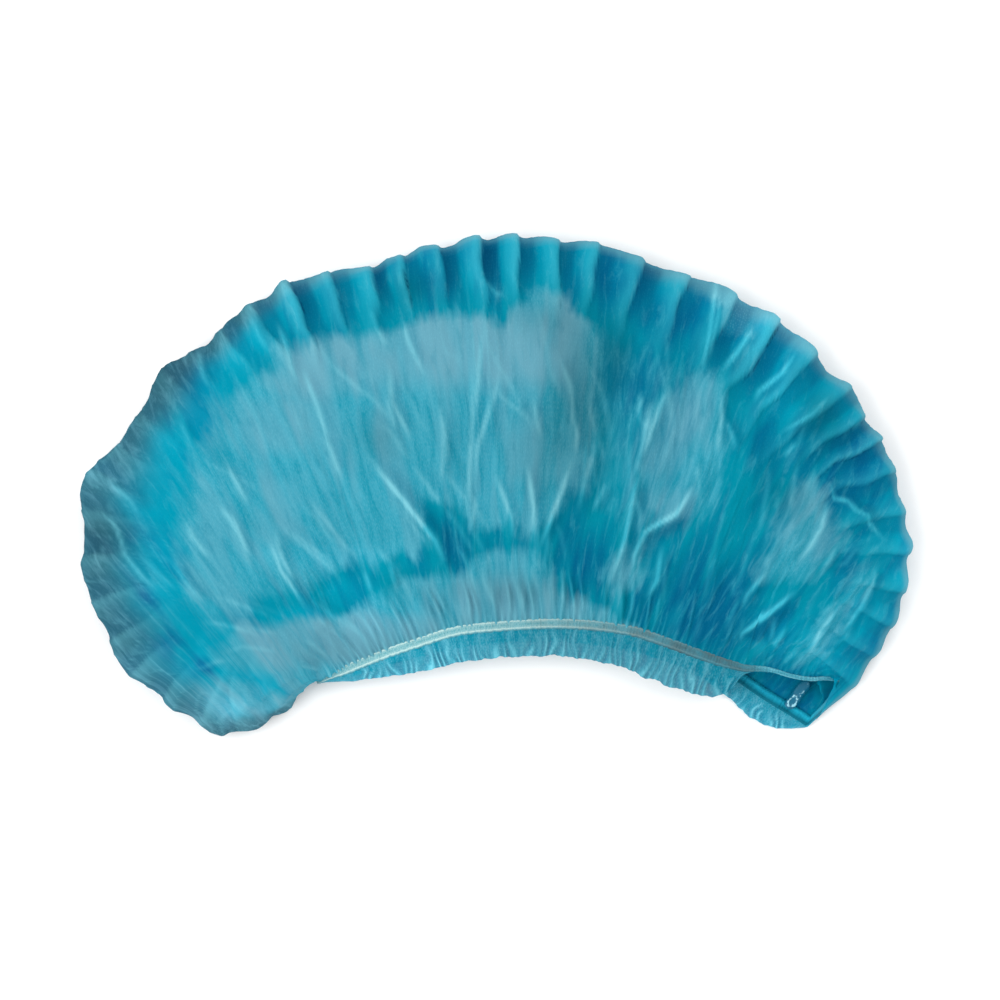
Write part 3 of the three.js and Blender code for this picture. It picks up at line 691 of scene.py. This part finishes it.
# ---- the bands round the mouth
def mouth_line(steps=900, corner_steps=24):
    """The closed line round the mouth: points, ways out, hem widths, and 1 on the back."""
    share = np.linspace(0, 1, steps)
    middle = np.array([0.02, -0.02])

    def run_rows(run, way, lift, side):
        place = at(run, way)
        point = np.concatenate([place[:, :2], place[:, 2:3] + lift], 1)
        out = right_of(course(run, way))
        return np.concatenate([point, out, place[:, 3:4], np.full((steps, 1), side)], 1)

    def corner(a, b):
        """A few steps from the end of one run to the start of the other, swelling outward."""
        t = np.linspace(0, 1, corner_steps + 2)[1:-1, None]
        row = a * (1 - t) + b * t
        away = a[3:5] + b[3:5]
        side = (a[:2] + b[:2]) / 2 - middle
        side = side / np.linalg.norm(side)
        row[:, :2] += np.sin(np.pi * t) * 1.5 * MM * side
        row[:, 3:5] = away / np.linalg.norm(away)
        return row

    front = run_rows(front_run, share, 0.6 * MM, 0.0)
    back = run_rows(back_run, share[::-1], 0.9 * MM, 1.0)
    line = np.vstack([front, corner(front[-1], back[0]), back, corner(back[-1], front[0])])
    line[:, 3:5] /= np.linalg.norm(line[:, 3:5], axis=1, keepdims=True)
    return line


def band_points(line, across, height):
    """A band on the mouth's line: across and height are arrays of places by columns."""
    points = np.repeat(line[:, None, :3], across.shape[1], 1)
    points[..., :2] += line[:, None, 3:5] * across[..., None]
    points[..., 2] = np.maximum(points[..., 2] + height, BAND_CLEARANCE)
    points[..., :2] += CENTRE
    return points


def elastic_share(line):
    """How much of its width the elastic has: less past the front hem's end and at the left."""
    front = line[:, 6] < 0.5
    narrow = 1 - 0.6 * smooth(0.085, 0.115, line[:, 0]) * front
    return narrow - 0.6 * smooth(-0.058, -0.071, line[:, 0])


def elastic_band(line):
    """Two threads with cloth between them, closed underneath."""
    profile = np.array([(-2.1, 0.0), (-1.9, 0.35), (-1.6, 0.60), (-1.2, 0.85), (-0.8, 0.60),
                        (0.0, 0.30), (0.8, 0.60), (1.2, 0.85), (1.6, 0.60), (1.9, 0.35),
                        (2.1, 0.0), (1.1, -0.8), (-1.1, -0.8), (-2.1, 0.0)]) * MM
    side, top = profile[None, :, 0], profile[None, :, 1]
    length = np.arange(len(line))[:, None] * 1.0
    x, back = line[:, :1], line[:, 6:7]
    ladder = 0.08 * MM * np.sin(length * 2 * np.pi / 5.0)
    ladder = ladder + 0.22 * MM * noise(length / 4, 0.0, 61)
    across = side * (ELASTIC_WIDTH / DRAWN_WIDTH) * elastic_share(line)[:, None]
    across = across + 0.15 * MM * noise(length / 7, 4.0, 62)
    middle = np.exp(-(side / (1.3 * MM)) ** 2) * (top > 0.1 * MM)
    height = top + ladder * (0.35 + middle) * (top > 0)
    uneven = np.abs(side) + 0.6 * MM * noise(length / 6, 9.0, 63)
    marks = {"side": np.maximum(back, smooth(0.097, 0.112, x)), "front": 1 - back,
             "veil": smooth(-0.04, 0.09, x), "thread": smooth(0.5 * MM, 0.8 * MM, top),
             "inner": smooth(0.6 * MM, -0.4 * MM, side),
             "tucked": smooth(1.3 * MM, 2.0 * MM, uneven)}
    return grid_mesh("elastic_band", band_points(line, across, height),
                     length / len(line) * 0.5, np.arange(len(profile)) * 0.6 * MM, marks,
                     closed=True)


def ruffle_sheet(line):
    """The hem: a strip that waves more toward its free edge, which sinks on the front."""
    columns = np.linspace(0, 1, 9)[None, :]
    length = np.arange(len(line))[:, None] * 1.0
    x, width, back = line[:, :1], line[:, 5:6], line[:, 6:7]
    start = elastic_share(line)[:, None] * ELASTIC_WIDTH / 2 - HEM_OVERLAP
    ragged = 1 + 0.07 * noise(length / 22, 0.0, 71) + 0.03 * noise(length / 8, 0.0, 72)
    phase = 2 * np.pi * (length / 14.0 + 0.9 * noise(length / 26, columns * 1.2, 73))
    wave = np.sin(phase) * (0.35 + 0.65 * columns) * np.minimum(1, width / (6 * MM))
    wave = wave * (0.75 + 0.5 * noise(length / 18, columns + 8, 74))
    height = 0.60 * MM * wave + 0.2 * MM
    height = height + 0.5 * MM * columns * noise(length / 40, columns * 2, 75)
    height = height - np.where(back < 0.5, 0.16 * columns * width, -0.5 * MM)
    # The hem's wave crests get painted highlight, its troughs painted shade.
    marks = {"crest_highlight": 0.65 * smooth(0.2, 1, wave), "groove_shade": 0.6 * smooth(0.1, 1, -wave),
             # Its back and its left are painted lighter.
             "shades": 0.35 * back + 0.32 * (1 - smooth(-0.03, 0.02, x))}
    return grid_mesh("hem_frill", band_points(line, start + columns * width * ragged, height),
                     length / len(line) * FLAT_LENGTH, columns * HEM_TEXTURE, marks, closed=True)


def weld_strip(name, x, y, turn, long, high):
    """The gathered end of the sheet melted into a strip, with a raised loop at one end; the loop
    and a trail along one side are marked for a painted glint.
    """
    steps, columns = 60, 17
    part = np.linspace(-1, 1, steps)[:, None]
    across = np.linspace(-1, 1, columns)[None, :]
    wide = 2.4 * MM * np.sqrt(np.maximum(1 - 0.9 * part ** 8, 0.05))
    loop = np.hypot((part + 0.50) / 0.38, across / 0.62)
    pale = np.exp(-((loop - 1) / 0.30) ** 2) * (1 - smooth(-0.2, 0.1, part))
    trail = 0.5 * np.exp(-((across + 0.45) / 0.3) ** 2) * smooth(-0.2, 0.1, part)
    dimple = np.maximum(pale, trail) * (0.8 + 0.5 * noise(part * 3 + x * 300, across * 1.2, 81))
    dimple = np.clip(dimple, 0, 1) * smooth(0, 0.15, 1 - np.abs(part))
    u = part * long / 2
    v = across * wide + 0.5 * MM * np.sin(part * 2.6)
    shell = high + 0.9 * MM * np.sqrt(np.maximum(1 - across ** 4, 0)) + 0.45 * MM * dimple
    points = np.stack([x + u * np.cos(turn) - v * np.sin(turn) + CENTRE[0],
                       y + u * np.sin(turn) + v * np.cos(turn) + CENTRE[1], shell], -1)
    under = points.copy()
    under[..., 2] = high - 0.1 * MM
    ring = np.concatenate([points, under[:, ::-1]], 1)
    painted_glint = np.concatenate([dimple, 0 * dimple], 1)
    return grid_mesh(name + "_strip", ring, part, np.linspace(0, 1, 2 * columns)[None, :],
                     {"painted_glint": painted_glint})


# ---- materials
class Nodes:
    """A material's node tree, with short ways to add and join nodes."""

    def __init__(self, name):
        self.material = bpy.data.materials.new(name)
        self.material.use_nodes = True
        self.tree = self.material.node_tree
        self.tree.nodes.clear()

    def add(self, kind, inputs=None, **settings):
        node = self.tree.nodes.new("ShaderNode" + kind)
        for key, value in settings.items():
            setattr(node, key, value)
        for key, value in (inputs or {}).items():
            self.put(node.inputs[key], value)
        return node

    def put(self, socket, value):
        if isinstance(value, bpy.types.NodeSocket):
            self.tree.links.new(value, socket)
        else:
            socket.default_value = value

    def math(self, operation, a, b=0.0, clamp=False):
        node = self.add("Math", operation=operation, use_clamp=clamp)
        self.put(node.inputs[0], a)
        self.put(node.inputs[1], b)
        return node.outputs[0]

    def span(self, value, low, high, to_low=0.0, to_high=1.0):
        node = self.add("MapRange", {"Value": value, "From Min": low, "From Max": high,
                                     "To Min": to_low, "To Max": to_high})
        return node.outputs[0]

    def mix(self, factor, a, b, blend="MIX"):
        node = self.add("Mix", data_type="RGBA", blend_type=blend)
        self.put(node.inputs[0], factor)
        self.put(node.inputs[6], a)
        self.put(node.inputs[7], b)
        return node.outputs[2]

    def times(self, a, b, clamp=False):
        return self.math("MULTIPLY", a, b, clamp)

    def plus(self, a, b, clamp=False):
        return self.math("ADD", a, b, clamp)

    def swing(self, grain, low=0.0, high=1.0):
        """From low to high over the range that a grain mostly keeps to."""
        return self.span(grain, 0.35, 0.65, low, high)

    def mark(self, name):
        return self.add("Attribute", attribute_name=name).outputs["Fac"]

    def cloth_place(self):
        return self.add("UVMap", uv_map="cloth").outputs[0]

    def grain(self, place, scale, detail=3.0, rough=0.6, twist=0.0):
        """Cloudy noise with so many grains a metre along and across the strip."""
        place = self.add("Mapping", {"Vector": place, "Scale": (*scale, 1)}).outputs[0]
        return self.add("TexNoise", {"Vector": place, "Scale": 1.0, "Detail": detail,
                                     "Roughness": rough, "Distortion": twist},
                        noise_dimensions="2D").outputs[0]

    def speckle(self, scale):
        """Noise in space."""
        place = self.add("TexCoord").outputs["Object"]
        return self.add("TexNoise", {"Vector": place, "Scale": scale, "Detail": 2.0}).outputs[0]

    def bump(self, height, strength, distance, **more):
        return self.add("Bump", {"Height": height, "Strength": strength, "Distance": distance,
                                 **more}).outputs[0]

    def face(self, color, roughness, specular, **more):
        return self.add("BsdfPrincipled", {"Base Color": color, "Roughness": roughness,
                                           "Specular IOR Level": specular, **more}).outputs[0]

    def finish(self, surface):
        self.add("OutputMaterial", {"Surface": surface})
        return self.material


# Reflected colours of the cloth, linear: a single layer, gathered double, the edges, and the
# painted shade of grooves and painted highlights of crests.
SHEER = (0.060, 0.380, 0.498, 1)
SHEER_BLUE = (0.016, 0.285, 0.395, 1)
DOUBLE_LIGHT = (0.004, 0.400, 0.540, 1)
DOUBLE = (0.000, 0.320, 0.460, 1)
DOUBLE_DEEP = (0.000, 0.155, 0.322, 1)
# Painted shade for the grooves of the folds.
GROOVE_SHADE = (0.000, 0.070, 0.160, 1)
# Painted highlights for the crests of the folds, on single and on doubled cloth.
CREST_HIGHLIGHT = (0.190, 0.560, 0.660, 1)
DOUBLE_CREST_HIGHLIGHT = (0.042, 0.435, 0.568, 1)
SLACK = (0.036, 0.112, 0.150, 1)
SELVAGE = (0.120, 0.375, 0.470, 1)
SHEER_LILAC = (0.140, 0.360, 0.455, 1)
# Dimming the doubled cloth inland keeps the rim and the lower cloth in the mouth painted lighter:
# painted light against the shade on their slopes.
INLAND_TINT = (0.70, 0.76, 0.74, 1)     # what the doubled cloth is dimmed by away from the rim
HEM_BLUE = (0.004, 0.220, 0.315, 1)
HEM_PALE = (0.110, 0.350, 0.440, 1)
GAP_TINT = (0.80, 0.96, 1.0, 1)
LET_THROUGH = 0.25          # the part of the light that the cloth scatters through itself


# The cloth's textures: how many grains a metre, along and across the strip.
FIBRES, CLOUDS, PATCHES = (1500, 900), (180, 85), (46, 22)
HAIRS, WRINKLES, BOND_POINTS = (330, 14), (300, 80), 640.0


def crown_color(n, haze, clouds, broad):
    """The crown's colour, its cover of what lies behind, its crests' painted-highlight colour, and
    how much its bond points are painted pale as a glint.
    """
    streaky = n.plus(haze, n.times(n.mark("streak"), 0.06))
    sheer = n.mix(n.span(streaky, 0.36, 0.66), SHEER_BLUE, SHEER)
    single = n.span(n.plus(n.mark("single"), n.span(clouds, 0.3, 0.7, -0.22, 0.22)), 0.05, 0.95)
    tint = n.plus(n.mark("lilac"), n.swing(broad, -0.3, 0.3), clamp=True)
    sheer = n.mix(n.times(tint, 0.85), sheer, SHEER_LILAC)
    thick = n.plus(n.mark("thick"), n.swing(broad, -0.35, 0.35), clamp=True)
    paler = n.times(n.span(streaky, 0.50, 0.80, 0.0, 0.7), n.span(thick, 0, 1, 1.0, 0.35))
    deep = n.mix(paler, n.mix(thick, DOUBLE, DOUBLE_DEEP), DOUBLE_LIGHT)
    # Near the rim and on the lower cloth the doubled colour stays full and is dimmed inland:
    # painted light on the rim's shaded slopes and inside the mouth.
    inland = n.span(n.mark("rim"), 0.0, 1.0, 1.0, 0.0)
    deep = n.mix(inland, deep, INLAND_TINT, "MULTIPLY")
    right_edge = n.mix(n.span(clouds, 0.45, 0.80, 0.0, 0.6), SLACK, SHEER_LILAC)
    edge = n.mix(n.mark("left"), SELVAGE, right_edge)
    color = n.mix(n.times(n.mark("slack"), 0.88), n.mix(single, deep, sheer), edge)
    bare = n.plus(single, n.times(n.mark("slack"), 0.8), clamp=True)
    cover = n.plus(n.span(single, 0, 1, 1.08, 1.03), n.swing(haze, -0.05, 0.05))
    return color, cover, n.mix(bare, DOUBLE_CREST_HIGHLIGHT, CREST_HIGHLIGHT), n.span(single, 0, 1, 0.04, 0.11)


def nonwoven(name, crown):
    """Spunbond cloth: blue fibres in cloudy webs, with bond points painted pale as a glint,
    painted highlights on crests, painted shade in grooves, and patches of painted light and shade.
    """
    n = Nodes(name)
    uv = n.cloth_place()
    fibres = n.grain(uv, FIBRES)
    clouds = n.grain(uv, CLOUDS, detail=4.0, twist=0.4)
    broad = n.grain(uv, PATCHES, detail=2.0, twist=0.3)
    dots = n.add("TexVoronoi", {"Vector": uv, "Scale": BOND_POINTS, "Randomness": 0.65},
                 voronoi_dimensions="2D").outputs["Distance"]
    dot = n.span(dots, 0.16, 0.30, 1.0, 0.0)
    drawn = n.grain(uv, HAIRS, detail=2.0, rough=0.5, twist=0.5)
    hair = n.span(n.math("ABSOLUTE", n.math("SUBTRACT", drawn, 0.5)), 0.0, 0.022, 1.0, 0.0)
    hair = n.times(hair, n.swing(broad))
    haze = n.plus(n.times(clouds, 0.6), n.times(fibres, 0.4))
    if crown:
        color, cover, crest_color, dotted = crown_color(n, haze, clouds, broad)
    else:
        color = n.mix(n.span(haze, 0.44, 0.78), HEM_BLUE, HEM_PALE)
        cover, crest_color, dotted = n.swing(haze, 0.86, 0.98), CREST_HIGHLIGHT, 0.12

    crest_highlight = n.mark("crest_highlight")
    # Painted shade in the grooves.
    color = n.mix(n.times(n.mark("groove_shade"), 0.85, clamp=True), color, GROOVE_SHADE)
    color = n.mix(n.times(hair, 0.05), color, crest_color)
    # Painted highlight on the crests.
    color = n.mix(n.times(crest_highlight, n.swing(haze, 0.85, 1.4), clamp=True), color, crest_color)
    # Bond points are the cloth's own pattern; painting them in the crest colour adds a painted
    # glint.
    color = n.mix(n.times(dot, dotted), color, crest_color)
    # The patches multiply the colour: on the crown painted light and shade, partly thinner or more
    # layered cloth; on the hem its back and its left are painted lighter.
    tone = n.span(n.mark("shades"), -1.0, 1.0, 0.0, 2.0)
    tones = n.add("CombineColor", {"Red": tone, "Green": tone, "Blue": tone}).outputs[0]
    color = n.mix(1.0, color, tones, "MULTIPLY")
    cover = n.plus(cover, n.times(crest_highlight, 0.2), clamp=True)

    relief = n.bump(n.plus(n.times(fibres, 0.35), n.times(dot, -0.5)), 0.35, 0.00025)
    relief = n.bump(n.grain(uv, WRINKLES, twist=0.3), 0.2, 0.0006, Normal=relief)
    face = n.face(color, 0.62, 0.01, Normal=relief)
    through_it = n.add("BsdfTranslucent", {"Color": color, "Normal": relief}).outputs[0]
    body = n.add("MixShader", {0: LET_THROUGH, 1: face, 2: through_it}).outputs[0]
    gaps = n.add("BsdfTransparent", {"Color": GAP_TINT}).outputs[0]
    return n.finish(n.add("MixShader", {0: cover, 1: gaps, 2: body}).outputs[0])


def elastic_material():
    """Covered rubber threads: pale cream green where bare, blue where the cloth wraps them."""
    n = Nodes("elastic_threads")
    uv = n.cloth_place()
    speck = n.grain(uv, (2600, 1500))
    patches = n.swing(n.grain(uv, (110, 300)))
    woven = n.mix(n.swing(speck), (0.09, 0.31, 0.36, 1), (0.23, 0.45, 0.48, 1))
    thread = n.mix(n.swing(speck), (0.38, 0.58, 0.57, 1), (0.56, 0.72, 0.68, 1))
    tucked = (0.035, 0.260, 0.350, 1)
    veil = n.mix(patches, (0.038, 0.085, 0.105, 1), (0.028, 0.150, 0.200, 1))
    wrapped = n.mix(patches, (0.002, 0.250, 0.380, 1), (0.006, 0.340, 0.480, 1))
    # The half of the wrapped band away from its hem, toward the inside of the cap, is painted
    # darker: painted shade.
    wrapped = n.mix(n.mark("inner"), (0.0, 0.140, 0.210, 1), wrapped)
    hem = n.mix(patches, (0.050, 0.300, 0.390, 1), (0.120, 0.420, 0.510, 1))
    color = n.mix(n.mark("thread"), woven, thread)
    color = n.mix(n.times(n.mark("tucked"), 0.65), color, tucked)
    color = n.mix(n.times(n.mark("veil"), 0.9), color, veil)
    wrapped = n.mix(n.mark("front"), wrapped, hem)
    color = n.mix(n.times(n.mark("side"), 0.95), color, wrapped)
    return n.finish(n.face(color, 0.6, 0.05, Normal=n.bump(speck, 0.5, 0.0003)))


def weld_material():
    """Cloth melted together: smooth, a little glossy, and painted pale as a glint where the strip
    marks it and in scattered specks.
    """
    n = Nodes("melted_cloth")
    speck = n.speckle(900.0)
    # The pale glint is painted: from the strip's mark and from scattered specks.
    glint = n.plus(n.mark("painted_glint"), n.swing(speck, -0.45, 0.35))
    color = n.mix(n.span(glint, 0.35, 0.75), (0.002, 0.120, 0.205, 1), (0.30, 0.60, 0.70, 1))
    return n.finish(n.face(color, 0.35, 0.25, Normal=n.bump(speck, 0.4, 0.0003)))


def floor_material():
    n = Nodes("floor_paper")
    color = n.mix(n.speckle(40.0), (0.93, 0.93, 0.93, 1), (0.95, 0.95, 0.95, 1))
    return n.finish(n.face(color, 0.8, 0.5))


# ---- pieces
def hand_over(piece, node, material):
    """Give a piece its material, and let it stand for a CAD node."""
    piece.data.materials.append(material)
    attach(piece, "root")
    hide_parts(node)


crown = crown_sheet()
hand_over(crown, "crown", nonwoven("crown_nonwoven", True))

ring = mouth_line()
frill = ruffle_sheet(ring)
hand_over(frill, "hem_ruffle", nonwoven("hem_nonwoven", False))
elastic = elastic_band(ring)
hand_over(elastic, "elastic_loop", elastic_material())

melted = weld_material()
for name, x, y, turn, long, high in WELDS:
    weld = weld_strip(name, x * MM, y * MM, np.radians(turn), long * MM, high * MM)
    hand_over(weld, name, melted)

# ---- stage, light and camera
FLOOR_HALF = 3.0
floor_mesh = bpy.data.meshes.new("floor")
floor_mesh.from_pydata([(x * FLOOR_HALF, y * FLOOR_HALF, 0)
                        for x, y in ((-1, -1), (1, -1), (1, 1), (-1, 1))], [], [(0, 1, 2, 3)])
floor_mesh.materials.append(floor_material())
new_object("floor", floor_mesh)


def area_light(name, place, power, size=1.4):
    """A square light that faces the part."""
    data = bpy.data.lights.new(name, "AREA")
    data.energy = power
    data.size = size
    light = new_object(name, data)
    light.location = place
    light.rotation_euler = (-Vector(place)).to_track_quat("-Z", "Y").to_euler()


area_light("key", (-1.0, -0.25, 1.2), 17)
area_light("fill", (0.7, 0.8, 1.4), 13)
world = bpy.data.worlds.new("studio")
world.use_nodes = True
background = world.node_tree.nodes["Background"].inputs
background["Color"].default_value = (1, 1, 1, 1)
background["Strength"].default_value = 0.84
bpy.context.scene.world = world

CAMERA_X, CAMERA_Y, CAMERA_HEIGHT = 0.0014, -0.0052, 1.6
SEEN_WIDTH = 0.400          # what the picture spans at the height of the cloth
CLOTH_HEIGHT = 0.015
SENSOR_WIDTH = 36           # millimetres, as Blender wants it
camera_data = bpy.data.cameras.new("camera")
camera_data.sensor_width = SENSOR_WIDTH
camera_data.lens = SENSOR_WIDTH * (CAMERA_HEIGHT - CLOTH_HEIGHT) / SEEN_WIDTH
camera = new_object("camera", camera_data)
camera.location = (CAMERA_X, CAMERA_Y, CAMERA_HEIGHT)
bpy.context.scene.camera = camera
bpy.context.scene.view_settings.view_transform = "Standard"
